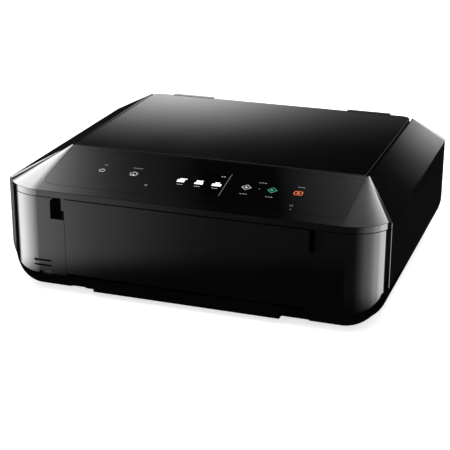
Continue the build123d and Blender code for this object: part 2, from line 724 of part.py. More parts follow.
# flat bed under the print head, with the pickup arm's lugs below it
platen_y = (eject_y + eject_radius + 3, feed_y - feed_radius - 3)
platen_bottom = 44.0
platen_top = 58.4
arm_y = 92.0
arm_z = 36.5
arm_shaft_radius = 2.5
lug_x = (30.0, 34.0)
with BuildPart() as print_platen:
    block((-116, 116), platen_y, (platen_bottom, 54))
    for rib in range(-11, 12):
        block((rib * 10 - 0.8, rib * 10 + 0.8), (platen_y[0] + 3, platen_y[1] - 3), (54, platen_top))
    for side in (-1, 1):
        lug = sorted((side * lug_x[0], side * lug_x[1]))
        block(lug, (arm_y - 5, arm_y + 5), (arm_z - 5, platen_bottom))
        rod_x(lug, arm_y, arm_z, arm_shaft_radius + fit_gap, Mode.SUBTRACT)
        mount = sorted((side * 116, side * 180))
        block(mount, (platen_y[0], platen_y[0] + 6), (platen_bottom - 8, platen_bottom - 5))
        block(sorted((side * 113, side * 116)), (platen_y[0], platen_y[0] + 6), (platen_bottom - 8, 54))
print_platen.part.label = "print_platen"
export_step(print_platen.part, "parts/print_platen.step")

pickup_roller_y = 54.0
pickup_roller_z = 34.2
pickup_radius = 9.0
pickup_half = 18.0
axle_radius = 2.0
with BuildPart() as pickup_arm:
    rod_x((-lug_x[1], lug_x[1]), arm_y, arm_z, arm_shaft_radius)
    for side in (-1, 1):
        cheek = sorted((side * (pickup_half + 1), side * (pickup_half + 4)))
        with BuildSketch(Plane.YZ.offset(cheek[0])):
            with Locations(Location(
                ((arm_y + pickup_roller_y) / 2, (arm_z + pickup_roller_z) / 2, 0),
                (0, 0, degrees(atan2(arm_z - pickup_roller_z, arm_y - pickup_roller_y)))
            )):
                SlotCenterToCenter(hypot(arm_y - pickup_roller_y, arm_z - pickup_roller_z), 9.0)
        extrude(amount=cheek[1] - cheek[0])
    bridge_y = (arm_y + pickup_roller_y) / 2 + 2
    block((-pickup_half - 1, pickup_half + 1), (bridge_y - 6, bridge_y + 6), (arm_z - 3, arm_z + 1))
    both = (-pickup_half - 4, pickup_half + 4)
    rod_x(both, pickup_roller_y, pickup_roller_z, axle_radius + fit_gap, Mode.SUBTRACT)
pickup_arm.part.label = "pickup_arm"
export_step(pickup_arm.part, "parts/pickup_arm.step")

with BuildPart() as pickup_roller:
    rod_x((-pickup_half - 4, pickup_half + 4), pickup_roller_y, pickup_roller_z, axle_radius)
    rod_x((-pickup_half, pickup_half), pickup_roller_y, pickup_roller_z, pickup_radius)
pickup_roller.part.label = "pickup_roller"
export_step(pickup_roller.part, "parts/pickup_roller.step")

# ---------------------------------------------------------------- print carriage
head_half = 22.0
head_bottom = 60.0
tank_count = 5
tank_pitch = 18.0
tank_width = 16.0
tank_y = (carriage_front + 4, 92.0)
tank_z = (carriage_bottom + 3, 106.0)
bearing_block_y = (rail_y - 8, rail_y + 8)
comb_half = 12.0
with BuildPart() as carriage:
    left = carriage_home - carriage_half
    right = carriage_home + carriage_half
    block((left, right), (carriage_front, 98), (carriage_bottom, carriage_top))
    block((left + 2, right - 2), (carriage_front + 2, 94), (tank_z[0], carriage_top), Mode.SUBTRACT)
    for wall_index in range(1, tank_count):
        wall_x = carriage_home + (wall_index - tank_count / 2) * tank_pitch
        block((wall_x - 0.6, wall_x + 0.6), (carriage_front, 94), (carriage_bottom, carriage_top - 8))
    block((carriage_home - 30, carriage_home + 30), bearing_block_y, (rail_z - 5.2, rail_z + 5.6))
    # clip behind the belt's near run, and the comb that reads the encoder strip
    comb = (carriage_home - comb_half, carriage_home + comb_half)
    block(comb, (96, belt_y - pulley_radius - belt_thickness - slack), (rail_z, 93))
    block(comb, (96, 117), (89, 93))
    block(comb, (strip_y - 3, strip_y - 1), (93, 103))
    block(comb, (strip_y + 1, strip_y + 3), (93, 103))
    head_x = (carriage_home - head_half, carriage_home + head_half)
    block(head_x, (50, 92), (head_bottom + 3, carriage_bottom))
    block(head_x, (52, 90), (head_bottom, carriage_bottom + 1), Mode.SUBTRACT)
    rod_x((left, right), rail_y, rail_z, rail_radius + fit_gap, Mode.SUBTRACT)
carriage.part.label = "carriage"
export_step(carriage.part, "parts/carriage.step")

with BuildPart() as print_head:
    head_x = (carriage_home - head_half + 2, carriage_home + head_half - 2)
    block(head_x, (52, 90), (head_bottom, carriage_bottom + 1))
    block(head_x, (62, 80), (head_bottom - 0.6, head_bottom))
print_head.part.label = "print_head"
export_step(print_head.part, "parts/print_head.step")

with BuildPart() as ink_tanks:
    for tank in range(tank_count):
        tank_x = carriage_home + (tank - (tank_count - 1) / 2) * tank_pitch
        block((tank_x - tank_width / 2, tank_x + tank_width / 2), tank_y, tank_z)
        block(
            (tank_x - tank_width / 2, tank_x + tank_width / 2), (tank_y[0], tank_y[0] + 14),
            (tank_z[1] - 5, tank_z[1]), Mode.SUBTRACT
        )
ink_tanks.part.label = "ink_tanks"
export_step(ink_tanks.part, "parts/ink_tanks.step")

with BuildPart() as carriage_motor:
    rod_z(drive_pulley_x, belt_y, (40, 65), 12.0)
    rod_z(drive_pulley_x, belt_y, (65, belt_z + belt_height), 1.5)
    block((drive_pulley_x - 12, frame_x), (belt_y - 12, belt_y + 12), (38.5, 40))
carriage_motor.part.label = "carriage_motor"
export_step(carriage_motor.part, "parts/carriage_motor.step")

for x, name in ((drive_pulley_x, "drive_pulley"), (idler_pulley_x, "idler_pulley")):
    with BuildPart() as pulley:
        rod_z(x, belt_y, (belt_z, belt_z + belt_height), pulley_radius - slack)
        rod_z(x, belt_y, (belt_z - 1.5, belt_z - 0.5), pulley_radius + 1.5)
        rod_z(x, belt_y, (belt_z - 0.5, belt_z), pulley_radius - slack)
        rod_z(x, belt_y, (belt_z - 2, belt_z + belt_height + 1), 1.5 + fit_gap, Mode.SUBTRACT)
    pulley.part.label = name
    export_step(pulley.part, "parts/" + name + ".step")

with BuildPart() as carriage_belt:
    middle_x = (drive_pulley_x + idler_pulley_x) / 2
    with BuildSketch(Plane.XY.offset(belt_z + 0.3)):
        with Locations((middle_x, belt_y)):
            SlotCenterToCenter(drive_pulley_x - idler_pulley_x, 2 * (pulley_radius + belt_thickness))
            SlotCenterToCenter(
                drive_pulley_x - idler_pulley_x, 2 * pulley_radius, mode=Mode.SUBTRACT
            )
    extrude(amount=belt_height - 0.6)
carriage_belt.part.label = "carriage_belt"
export_step(carriage_belt.part, "parts/carriage_belt.step")

# ---------------------------------------------------------------- service station and electronics
with BuildPart() as purge_unit:
    block((118, 178), (66, 98), (27, 46))
    block((121, 175), (69, 95), (32, 46), Mode.SUBTRACT)
    block((160, 166), (72, 92), (32, 44))
    rod_x((142, 160), 82, 38, 5.0)
    for x in (120, 170):
        block((x, x + 4), (72, 92), (floor_top, 27))
purge_unit.part.label = "purge_unit"
export_step(purge_unit.part, "parts/purge_unit.step")

cap_top = head_bottom - 0.6 - slack
with BuildPart() as cap_sled:
    block((carriage_home - 19, carriage_home + 24), (66.5, 94), (51.5, 54))
    block((carriage_home - 19, carriage_home + 19), (56, 88), (54, cap_top))
    block((carriage_home - 17, carriage_home + 17), (58, 86), (55.5, cap_top), Mode.SUBTRACT)
cap_sled.part.label = "cap_sled"
export_step(cap_sled.part, "parts/cap_sled.step")

with BuildPart() as waste_ink_absorber:
    block((-140, 140), (cassette_rear + 6, back - rear_radius), (floor_top, 26))
waste_ink_absorber.part.label = "waste_ink_absorber"
export_step(waste_ink_absorber.part, "parts/waste_ink_absorber.step")

with BuildPart() as power_supply:
    block((128, 198), (-130, -10), (10, 48))
    for slot in range(8):
        slot_y = -118 + slot * 14
        block((136, 190), (slot_y, slot_y + 5), (46, 48), Mode.SUBTRACT)
    for x in (134, 168):
        block((x, x + 6), (-120, -20), (floor_top, 10))
power_supply.part.label = "power_supply"
export_step(power_supply.part, "parts/power_supply.step")

with BuildPart() as main_board:
    block((-200, -125), (-130, 18), (30, 31.6))
    for x, y, w, d, h in (
        (-165, -60, 24, 24, 2.5), (-150, -100, 12, 18, 1.5), (-180, -20, 16, 10, 8),
        (-140, -10, 10, 22, 7), (-185, -95, 10, 26, 6), (-145, -40, 8, 8, 3)
    ):
        block((x - w / 2, x + w / 2), (y - d / 2, y + d / 2), (31.6, 31.6 + h))
    for x in (-172, -132):
        for y in (-124, 12):
            rod_z(x, y, (floor_top, 30), 3.0)
main_board.part.label = "main_board"
export_step(main_board.part, "parts/main_board.step")

with BuildPart() as card_reader:
    block((-192, -152), (front + wall + 3, crease_y - 8), (18, 44))
    for z in (card_slot_z, small_slot_z):
        block(
            (slot_left + 1, slot_right - 1), (front, crease_y - 12), (z + 0.1, z + slot_height - 0.1),
            Mode.SUBTRACT
        )
card_reader.part.label = "card_reader"
export_step(card_reader.part, "parts/card_reader.step")

# ---------------------------------------------------------------- scanner unit
lid_groove = 2.4                    # between the lid and the shoulders
deck_half = lid_half + lid_groove
deck_top = lid_bottom - 0.8
deck_bottom = deck_top - wall
slope_run = panel_top_y - front
slope_rise = slope_top - strip_top
slope_angle = degrees(atan2(slope_rise, slope_run))
panel_plane = Plane(
    origin=(0, front, strip_top), x_dir=(1, 0, 0),
    z_dir=(0, -sin(radians(slope_angle)), cos(radians(slope_angle)))
)


def upper_cavity():
    """The hollow of the scanner unit, under its sloped panel, shoulders and deck."""
    with BuildPart() as cavity:
        add(slope_form(wall))
        add(unit_prism(wall, strip_top - wall - 1, deck_bottom), mode=Mode.INTERSECT)
    return cavity.part


def upper_shell():
    """The shell above the strip: sloped panel, shoulders and the deck under the lid."""
    with BuildPart() as shell:
        add(slope_form(0))
        block((-deck_half, deck_half), (panel_top_y - 0.4, back), (deck_top, height), Mode.SUBTRACT)
        add(upper_cavity(), mode=Mode.SUBTRACT)
    return shell.part


with BuildPart() as scanner_base:
    add(unit_prism(0, strip_bottom, strip_top - strip_gap))
    add(unit_prism(wall, strip_bottom + 2, strip_top), mode=Mode.SUBTRACT)
    for side in (-1, 1):
        lug = sorted((side * hinge_inner, side * (hinge_inner + lug_width)))
        lug_y = (unit_axis_y - hinge_radius, unit_axis_y + hinge_radius)
        block(lug, lug_y, (unit_axis_z, strip_bottom + 1))
        rod_x(lug, unit_axis_y, unit_axis_z, hinge_radius)
        rod_x(lug, unit_axis_y, unit_axis_z, hinge_pin_radius + fit_gap, Mode.SUBTRACT)
    # lug of the support arm
    prop_y = 38.0
    prop_lug = (half_width - 10.0, half_width - 6.5)
    prop_pin_radius = 2.5
    block(prop_lug, (prop_y - 6, prop_y + 6), (unit_axis_z - 5, strip_bottom + 1))
    rod_x(prop_lug, prop_y, unit_axis_z, prop_pin_radius + fit_gap, Mode.SUBTRACT)
    # posts of the scan rail
    scan_rail_y = 58.0
    scan_rail_z = strip_bottom + 10.2
    scan_rail_radius = 3.0
    post_x = 178.0
    for side in (-1, 1):
        post = sorted((side * post_x, side * (post_x + 5)))
        block(post, (scan_rail_y - 6, scan_rail_y + 6), (strip_bottom + 2, scan_rail_z + 5))
        rod_x(post, scan_rail_y, scan_rail_z, scan_rail_radius, Mode.SUBTRACT)
scanner_base.part.label = "scanner_base"
export_step(scanner_base.part, "parts/scanner_base.step")

# swings down behind the side frame and props the scanner unit open
prop_length = 90.0
with BuildPart() as support_arm:
    prop_x = (half_width - 14.0, half_width - 11.0)
    with BuildSketch(Plane.YZ.offset(prop_x[0])):
        with Locations((prop_y + prop_length / 2, unit_axis_z)):
            SlotCenterToCenter(prop_length, 8.0)
    extrude(amount=prop_x[1] - prop_x[0])
    rod_x((prop_x[0], prop_lug[1]), prop_y, unit_axis_z, prop_pin_radius)
support_arm.part.label = "support_arm"
export_step(support_arm.part, "parts/support_arm.step")

overlay_half = 179.3
overlay_low = 15.8                  # distances up the slope from the crease
overlay_high = 101.5
overlay_corner = 14.0
overlay_thickness = 1.0
line_gap = 0.15                     # seams between the flush pieces of the panel
overlay_gap = 0.5                   # seam round the glossy panel
lcd_size = (62.5, 53.0)
lcd_middle = (0.0, 56.0)
key_depth = 2.7
flange_height = 1.2
flange_reach = 1.4
keys = {
    "power_button": (-121.0, 57.8, 17.0, 17.0),
    "home_button": (-81.0, 58.0, 16.0, 16.0),
    "black_start_button": (55.8, 56.5, 15.0, 15.0),
    "colour_start_button": (86.0, 56.5, 15.0, 15.0),
    "stop_button": (115.9, 56.5, 16.0, 15.0),
}
key_corner = 3.0


def key_outlines(grow, mode=Mode.ADD):
    """The outlines of the five keys, grown all round, in the open sketch."""
    for x, up, key_width, key_height in keys.values():
        with Locations((x, up)):
            RectangleRounded(
                key_width + 2 * grow, key_height + 2 * grow, key_corner + grow, mode=mode
            )


def lcd_outline(grow, mode=Mode.ADD):
    """The display's outline, grown all round, in the open sketch."""
    with Locations(lcd_middle):
        Rectangle(lcd_size[0] + 2 * grow, lcd_size[1] + 2 * grow, mode=mode)


def overlay_outline(grow):
    """The glossy panel's outline: square at the top, rounded at the bottom."""
    low = overlay_low - grow
    high = overlay_high + grow
    half = overlay_half + grow
    corner = overlay_corner + grow
    with BuildLine() as outline:
        Line((-half, high), (half, high))
        Line((half, high), (half, low + corner))
        RadiusArc((half, low + corner), (half - corner, low), corner)
        Line((half - corner, low), (corner - half, low))
        RadiusArc((corner - half, low), (-half, low + corner), corner)
        Line((-half, low + corner), (-half, high))
    make_face(outline.edges())


with BuildPart() as panel_housing:
    add(upper_shell())
    block((-deck_half, deck_half), (panel_rear_y, back), (strip_top, height), Mode.SUBTRACT)
    block((-half_width, half_width), (shoulder_seam_y, back), (strip_top, height), Mode.SUBTRACT)
    with BuildSketch(panel_plane):
        overlay_outline(overlay_gap)
    extrude(amount=-overlay_thickness, mode=Mode.SUBTRACT)
    with BuildSketch(panel_plane.offset(-overlay_thickness)):
        key_outlines(line_gap)
        lcd_outline(line_gap)
    extrude(amount=-14, mode=Mode.SUBTRACT)
    with BuildSketch(panel_plane.offset(-key_depth)):
        key_outlines(flange_reach + slack)
    extrude(amount=-12, mode=Mode.SUBTRACT)
panel_housing.part.label = "panel_housing"
export_step(panel_housing.part, "parts/panel_housing.step")

with BuildPart() as panel_overlay:
    with BuildSketch(panel_plane.offset(-overlay_thickness)):
        overlay_outline(0)
        key_outlines(line_gap, Mode.SUBTRACT)
        lcd_outline(line_gap, Mode.SUBTRACT)
    extrude(amount=overlay_thickness)
panel_overlay.part.label = "panel_overlay"
export_step(panel_overlay.part, "parts/panel_overlay.step")

with BuildPart() as lcd_module:
    with BuildSketch(panel_plane):
        lcd_outline(0)
    extrude(amount=-5)
lcd_module.part.label = "lcd_module"
export_step(lcd_module.part, "parts/lcd_module.step")

for name, (x, up, key_width, key_height) in keys.items():
    with BuildPart() as key:
        with BuildSketch(panel_plane):
            with Locations((x, up)):
                RectangleRounded(key_width, key_height, key_corner)
        extrude(amount=-key_depth - slack)
        with BuildSketch(panel_plane.offset(-key_depth - slack)):
            with Locations((x, up)):
                RectangleRounded(
                    key_width + 2 * flange_reach, key_height + 2 * flange_reach,
                    key_corner + flange_reach
                )
        extrude(amount=-flange_height)
    key.part.label = name
    export_step(key.part, "parts/" + name + ".step")

tab_gap = 1.8
hinge_block = 4.5
with BuildPart() as scanner_frame:
    add(upper_shell())
    rear_from = panel_rear_y + seam
    block((-half_width, half_width), (front, rear_from), (strip_top, height), Mode.SUBTRACT)
    for side in (-1, 1):
        shoulder = sorted((side * deck_half, side * half_width))
        block(shoulder, (front, shoulder_seam_y + seam), (strip_top, height), Mode.SUBTRACT)
    block(
        (-deck_half, deck_half), (rear_from, shoulder_seam_y + seam), (strip_top, deck_bottom),
        Mode.SUBTRACT
    )
    # window over the glass
    window = (-glass_half + 4, glass_half - 4)
    block(window, (glass_front + 4, glass_rear - 4), (deck_bottom, deck_top), Mode.SUBTRACT)
    # bar across the back, lower than the deck so that the lid can swing over it
    bar_top = lid_axis_z + 3.8
    block((-deck_half, deck_half), (back - 8, back), (bar_top, height), Mode.SUBTRACT)
    bar_half = deck_half + 4
    block((-bar_half, bar_half), (back - 11.5, back - wall), (lid_axis_z - 7.5, bar_top))
    for side in (-1, 1):
        notch = sorted((side * (tab_inner - tab_gap), side * (tab_outer + tab_gap)))
        block(notch, (back - 14.5, back), (lid_axis_z - 9.5, height), Mode.SUBTRACT)
        for edge in (tab_inner - tab_gap - hinge_block, tab_outer + tab_gap):
            ear = sorted((side * edge, side * (edge + hinge_block)))
            block(ear, (back - 12.5, back), (lid_axis_z - 6.5, bar_top))
            rod_x(ear, lid_axis_y, lid_axis_z, 2.5 + fit_gap, Mode.SUBTRACT)
scanner_frame.part.label = "scanner_frame"
export_step(scanner_frame.part, "parts/scanner_frame.step")

glass_bottom = deck_bottom - glass_thickness
with BuildPart() as platen_glass:
    block((-glass_half, glass_half), (glass_front, glass_rear), (glass_bottom, deck_bottom))
platen_glass.part.label = "platen_glass"
export_step(platen_glass.part, "parts/platen_glass.step")

scan_home = 14.0 - glass_half
with BuildPart() as scan_carriage:
    bar_x = (scan_home - 9, scan_home + 9)
    block(bar_x, (glass_front + 3, glass_rear - 3), (glass_bottom - 9, glass_bottom - 0.6))
    lamp_slot = (scan_home - 4, scan_home + 4)
    lamp_z = (glass_bottom - 3, glass_bottom)
    block(lamp_slot, (glass_front + 8, glass_rear - 8), lamp_z, Mode.SUBTRACT)
    shoe_x = (scan_home - 14, scan_home + 14)
    block(shoe_x, (scan_rail_y - 6, scan_rail_y + 6), (scan_rail_z - 5, glass_bottom - 3))
    rod_x(shoe_x, scan_rail_y, scan_rail_z, scan_rail_radius + fit_gap, Mode.SUBTRACT)
scan_carriage.part.label = "scan_carriage"
export_step(scan_carriage.part, "parts/scan_carriage.step")

with BuildPart() as scan_rail:
    rod_x((-post_x - 5, post_x + 5), scan_rail_y, scan_rail_z, scan_rail_radius)
scan_rail.part.label = "scan_rail"
export_step(scan_rail.part, "parts/scan_rail.step")

# ---------------------------------------------------------------- document lid
lid_top = height - 0.4
lid_corner = 12.0
lip_half = 50.0
with BuildPart() as document_lid:
    block((-lid_half, lid_half), (lid_front, lid_rear), (lid_bottom, lid_top))
    upright = document_lid.edges().filter_by(Axis.Z).group_by(Axis.Y)
    fillet(upright[-1], lid_corner)
    fillet(upright[0], 2.0)
    fillet(document_lid.faces().sort_by(Axis.Z)[-1].edges(), 0.8)
    # handle: a shallow bevel in the middle of the front edge
    with BuildSketch(Plane.YZ.offset(-lip_half)):
        Polygon(
            (lid_front, lid_top), (lid_front + 3, lid_top), (lid_front, lid_top - 2.2), align=None
        )
    extrude(amount=2 * lip_half, mode=Mode.SUBTRACT)
    # hollow underneath, behind a rim
    rim = 2.5
    hollow_y = (lid_front + rim, lid_rear - 10)
    block((rim - lid_half, lid_half - rim), hollow_y, (lid_bottom, lid_top - 2), Mode.SUBTRACT)
    for side in (-1, 1):
        tab = sorted((side * tab_inner, side * tab_outer))
        block(tab, (lid_axis_y - 5, back), (lid_axis_z - 4.5, lid_bottom))
        block(tab, (lid_rear - 2, back), (lid_bottom, height))
        pin = sorted((side * (tab_inner - tab_gap - 4), side * (tab_outer + tab_gap + 4)))
        rod_x(pin, lid_axis_y, lid_axis_z, 2.5)
document_lid.part.label = "document_lid"
export_step(document_lid.part, "parts/document_lid.step")

with BuildPart() as lid_pad:
    block(
        (-glass_half - 1, glass_half + 1), (glass_front - 1, glass_rear),
        (lid_bottom - 0.4, lid_top - 2)
    )
    fillet(lid_pad.edges().filter_by(Axis.Z), 3.0)
lid_pad.part.label = "lid_pad"
export_step(lid_pad.part, "parts/lid_pad.step")
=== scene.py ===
import json
import math

import bpy
import numpy as np
from mathutils import Matrix


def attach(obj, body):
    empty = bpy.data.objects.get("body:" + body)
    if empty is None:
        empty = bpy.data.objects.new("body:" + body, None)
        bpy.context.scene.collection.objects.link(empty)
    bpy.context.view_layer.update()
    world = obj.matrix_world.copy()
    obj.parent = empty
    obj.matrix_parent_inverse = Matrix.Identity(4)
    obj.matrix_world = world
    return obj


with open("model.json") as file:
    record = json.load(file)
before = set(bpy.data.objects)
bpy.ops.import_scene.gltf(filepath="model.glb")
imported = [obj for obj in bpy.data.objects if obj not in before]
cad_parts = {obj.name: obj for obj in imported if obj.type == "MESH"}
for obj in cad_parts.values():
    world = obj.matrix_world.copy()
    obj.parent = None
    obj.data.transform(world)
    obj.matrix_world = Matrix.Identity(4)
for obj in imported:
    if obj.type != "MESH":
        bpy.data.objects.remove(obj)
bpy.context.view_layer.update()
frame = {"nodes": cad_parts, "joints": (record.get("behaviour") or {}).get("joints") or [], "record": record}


nodes = frame["nodes"]
jointOf = {joint["child"]: joint for joint in frame["joints"]}
print("frame loaded:", len(nodes), "nodes")


# ---- shader maths

class Socket:
    # wraps an output socket, so that sums and products of sockets add their Math nodes
    def __init__(self, tree, out):
        self.tree = tree
        self.out = out

    def op(self, operation, *values):
        node = self.tree.nodes.new("ShaderNodeMath")
        node.operation = operation
        for place, value in enumerate(values):
            if isinstance(value, Socket):
                self.tree.links.new(value.out, node.inputs[place])
            else:
                node.inputs[place].default_value = value
        return Socket(self.tree, node.outputs[0])

    def __add__(self, other): return self.op("ADD", self, other)
    def __radd__(self, other): return self.op("ADD", other, self)
    def __sub__(self, other): return self.op("SUBTRACT", self, other)
    def __rsub__(self, other): return self.op("SUBTRACT", other, self)
    def __mul__(self, other): return self.op("MULTIPLY", self, other)
    def __rmul__(self, other): return self.op("MULTIPLY", other, self)
    def __truediv__(self, other): return self.op("DIVIDE", self, other)
    def __gt__(self, other): return self.op("GREATER_THAN", self, other)
    def __lt__(self, other): return self.op("LESS_THAN", self, other)

    def clamp(self): return self.op("MINIMUM", self.op("MAXIMUM", self, 0.0), 1.0)

    # 0 below low, 1 above high, straight in between
    def ramp(self, low, high): return ((self - low) / (high - low)).clamp()


class Tree:
    def __init__(self, owner):
        owner.use_nodes = True
        self.tree = owner.node_tree
        self.tree.nodes.clear()

    def node(self, kind, settings=None, inputs=None, out=0):
        # settings first, such as an operation or a ramp's stops, then values or links
        node = self.tree.nodes.new(kind)
        for name, value in (settings or {}).items():
            if name == "stops":
                setStops(node.color_ramp, value)
            else:
                setattr(node, name, value)
        for name, value in (inputs or {}).items():
            if isinstance(value, Socket):
                self.tree.links.new(value.out, node.inputs[name])
            else:
                node.inputs[name].default_value = value
        return Socket(self.tree, node.outputs[out])

    def axes(self, vector):
        split = self.tree.nodes.new("ShaderNodeSeparateXYZ")
        self.tree.links.new(vector.out, split.inputs[0])
        return [Socket(self.tree, split.outputs[place]) for place in range(3)]


def setStops(ramp, stops):
    while len(ramp.elements) > 1:
        ramp.elements.remove(ramp.elements[-1])
    ramp.elements[0].position = stops[0][0]
    ramp.elements[0].color = (stops[0][1],) * 3 + (1,)
    for position, level in stops[1:]:
        element = ramp.elements.new(position)
        element.color = (level,) * 3 + (1,)


def finishMaterial(tree, surface):
    out = tree.tree.nodes.new("ShaderNodeOutputMaterial")
    tree.tree.links.new(surface.out, out.inputs["Surface"])


def plastic(name, colour, roughness, grain, grainSize, swirl=0.0, coat=0.0):
    # colour, roughness and relief all vary a little with noise of the moulding's grain size
    material = bpy.data.materials.new(name)
    tree = Tree(material)
    place = tree.node("ShaderNodeTexCoord", out=3)
    fine = tree.node("ShaderNodeTexNoise", inputs={"Vector": place, "Scale": grainSize, "Detail": 3.0})
    broad = tree.node("ShaderNodeTexNoise", inputs={"Vector": place, "Scale": 14.0, "Detail": 2.0})
    low = tuple(c * 0.85 for c in colour) + (1,)
    high = tuple(min(1, c * 1.15) for c in colour) + (1,)
    base = tree.node(
        "ShaderNodeMix", {"data_type": "RGBA"}, {"Factor": broad, "A": low, "B": high}, out=2
    )
    bump = tree.node("ShaderNodeBump", inputs={"Height": fine, "Strength": grain, "Distance": 0.0002})
    inputs = {"Base Color": base, "Roughness": broad * swirl + (roughness - swirl / 2), "Normal": bump}
    inputs["Coat Weight"] = coat
    finishMaterial(tree, tree.node("ShaderNodeBsdfPrincipled", inputs=inputs))
    return material


def metal(name, colour, roughness, brushed):
    # long thin noise along X stands for the rolling marks
    material = bpy.data.materials.new(name)
    tree = Tree(material)
    place = tree.node("ShaderNodeTexCoord", out=3)
    scaled = tree.node("ShaderNodeMapping", inputs={"Vector": place, "Scale": (6.0, 700.0, 700.0)})
    marks = tree.node("ShaderNodeTexNoise", inputs={"Vector": scaled, "Scale": 1.0, "Detail": 4.0})
    low = tuple(c * 0.8 for c in colour) + (1,)
    base = tree.node(
        "ShaderNodeMix", {"data_type": "RGBA"}, {"Factor": marks, "A": low, "B": colour + (1,)}, out=2
    )
    bump = tree.node("ShaderNodeBump", inputs={"Height": marks, "Strength": brushed, "Distance": 0.0002})
    inputs = {"Base Color": base, "Metallic": 1.0, "Roughness": marks * 0.2 + roughness, "Normal": bump}
    finishMaterial(tree, tree.node("ShaderNodeBsdfPrincipled", inputs=inputs))
    return material


def glowing(name, colour, strength):
    # printed colour that varies by a twelfth with fine noise, and gives a little light of its own: on the
    # display and the lamps this is their own light, on printed icons and labels it is a painted glow that
    # brightens the print as if lit
    material = bpy.data.materials.new(name)
    tree = Tree(material)
    place = tree.node("ShaderNodeTexCoord", out=3)
    noise = tree.node("ShaderNodeTexNoise", inputs={"Vector": place, "Scale": 900.0})
    base = tree.node(
        "ShaderNodeMix", {"data_type": "RGBA"},
        {"Factor": noise, "A": tuple(c * 0.92 for c in colour) + (1,), "B": colour + (1,)}, out=2
    )
    inputs = {"Base Color": base, "Roughness": 0.4, "Emission Color": base, "Emission Strength": strength}
    finishMaterial(tree, tree.node("ShaderNodeBsdfPrincipled", inputs=inputs))
    return material


def clearGlass(name):
    # mostly see-through, with a faint polish pattern in its roughness
    material = bpy.data.materials.new(name)
    tree = Tree(material)
    place = tree.node("ShaderNodeTexCoord", out=3)
    noise = tree.node("ShaderNodeTexNoise", inputs={"Vector": place, "Scale": 40.0})
    inputs = {
        "Base Color": (0.86, 0.93, 0.92, 1), "Roughness": noise * 0.03 + 0.01, "Alpha": 0.28, "IOR": 1.5
    }
    finishMaterial(tree, tree.node("ShaderNodeBsdfPrincipled", inputs=inputs))
    return material


def circuitBoard(name):
    # a grid of thin copper lines under green lacquer, switched on and off by noise
    material = bpy.data.materials.new(name)
    tree = Tree(material)
    place = tree.node("ShaderNodeTexCoord", out=3)
    x, y, z = tree.axes(place)
    lineX = (x * 400.0).op("FRACT", x * 400.0) < 0.3
    lineY = (y * 400.0).op("FRACT", y * 400.0) < 0.3
    patch = tree.node("ShaderNodeTexNoise", inputs={"Vector": place, "Scale": 60.0}).ramp(0.48, 0.52)
    trace = lineX * patch + lineY * (1 - patch)
    base = tree.node(
        "ShaderNodeMix", {"data_type": "RGBA"},
        {"Factor": trace.clamp(), "A": (0.006, 0.07, 0.03, 1), "B": (0.02, 0.16, 0.06, 1)}, out=2
    )
    inputs = {"Base Color": base, "Roughness": 0.35 - trace * 0.1}
    finishMaterial(tree, tree.node("ShaderNodeBsdfPrincipled", inputs=inputs))
    return material


glossShell = plastic("glossShell", (0.0016, 0.0016, 0.0017), 0.055, 0.015, 500.0, 0.02)
panelGloss = plastic("panelGloss", (0.0013, 0.0013, 0.0014), 0.045, 0.006, 400.0, 0.01)
darkPlastic = plastic("darkPlastic", (0.009, 0.009, 0.0095), 0.42, 0.25, 2500.0, 0.08)
screenGlass = plastic("screenGlass", (0.0008, 0.0008, 0.0012), 0.05, 0.0, 300.0, 0.01)
lightPlastic = plastic("lightPlastic", (0.62, 0.6, 0.54), 0.45, 0.1, 1500.0, 0.08)
rubberGrip = plastic("rubberGrip", (0.018, 0.018, 0.018), 0.75, 0.5, 3000.0, 0.1)
whiteSheet = plastic("whiteSheet", (0.82, 0.82, 0.8), 0.5, 0.1, 1200.0, 0.05)
feltPad = plastic("feltPad", (0.6, 0.58, 0.52), 0.9, 0.9, 1800.0, 0.05)
stripFilm = plastic("stripFilm", (0.2, 0.22, 0.24), 0.15, 0.05, 3000.0, 0.02)
tankPlastic = plastic("tankPlastic", (0.03, 0.03, 0.034), 0.25, 0.05, 1500.0, 0.05)
headPlastic = plastic("headPlastic", (0.09, 0.09, 0.1), 0.4, 0.15, 2200.0, 0.05)
coatedCase = plastic("coatedCase", (0.05, 0.05, 0.055), 0.35, 0.3, 2600.0, 0.1)
zincSteel = metal("zincSteel", (0.62, 0.62, 0.64), 0.22, 0.25)
greenBoard = circuitBoard("greenBoard")
platenGlass = clearGlass("platenGlass")

slotMaterial = {
    "gloss_shell": glossShell, "panel_gloss": panelGloss, "dark_plastic": darkPlastic,
    "screen": screenGlass, "clear_glass": platenGlass, "steel": zincSteel,
    "light_plastic": lightPlastic, "rubber": rubberGrip, "white_foam": whiteSheet,
    "felt": feltPad, "film": stripFilm, "board": greenBoard, "zinc_case": coatedCase,
    "ink_tank": tankPlastic, "head": headPlastic,
}
for part in frame["record"]["subparts"]:
    mesh = nodes[part["node"]].data
    mesh.materials.clear()
    mesh.materials.append(slotMaterial[part["material_slot"]])
print("materials on every node")


# ---- flat marks on the panel

slope = -np.array(jointOf["power_button"]["axis"])
upSlope = np.array([0.0, slope[2], -slope[1]])
toRight = np.array([1.0, 0.0, 0.0])


def vertsOf(node):
    mesh = nodes[node].data
    flat = np.empty(len(mesh.vertices) * 3)
    mesh.vertices.foreach_get("co", flat)
    return flat.reshape(-1, 3)


def topOf(node):
    # middle of the node's face that looks out of the panel: half way between its outermost points
    verts = vertsOf(node)
    height = verts @ slope
    face = verts[height > height.max() - 2e-5]
    across = face @ toRight
    up = face @ upSlope
    return (
        toRight * (across.min() + across.max()) / 2 + upSlope * (up.min() + up.max()) / 2
        + slope * height.max()
    )


def makeMesh(name, verts, faces, material):
    mesh = bpy.data.meshes.new(name)
    mesh.from_pydata(verts.tolist(), [], faces)
    mesh.update()
    mesh.materials.append(material)
    piece = bpy.data.objects.new(name, mesh)
    bpy.context.scene.collection.objects.link(piece)
    return piece


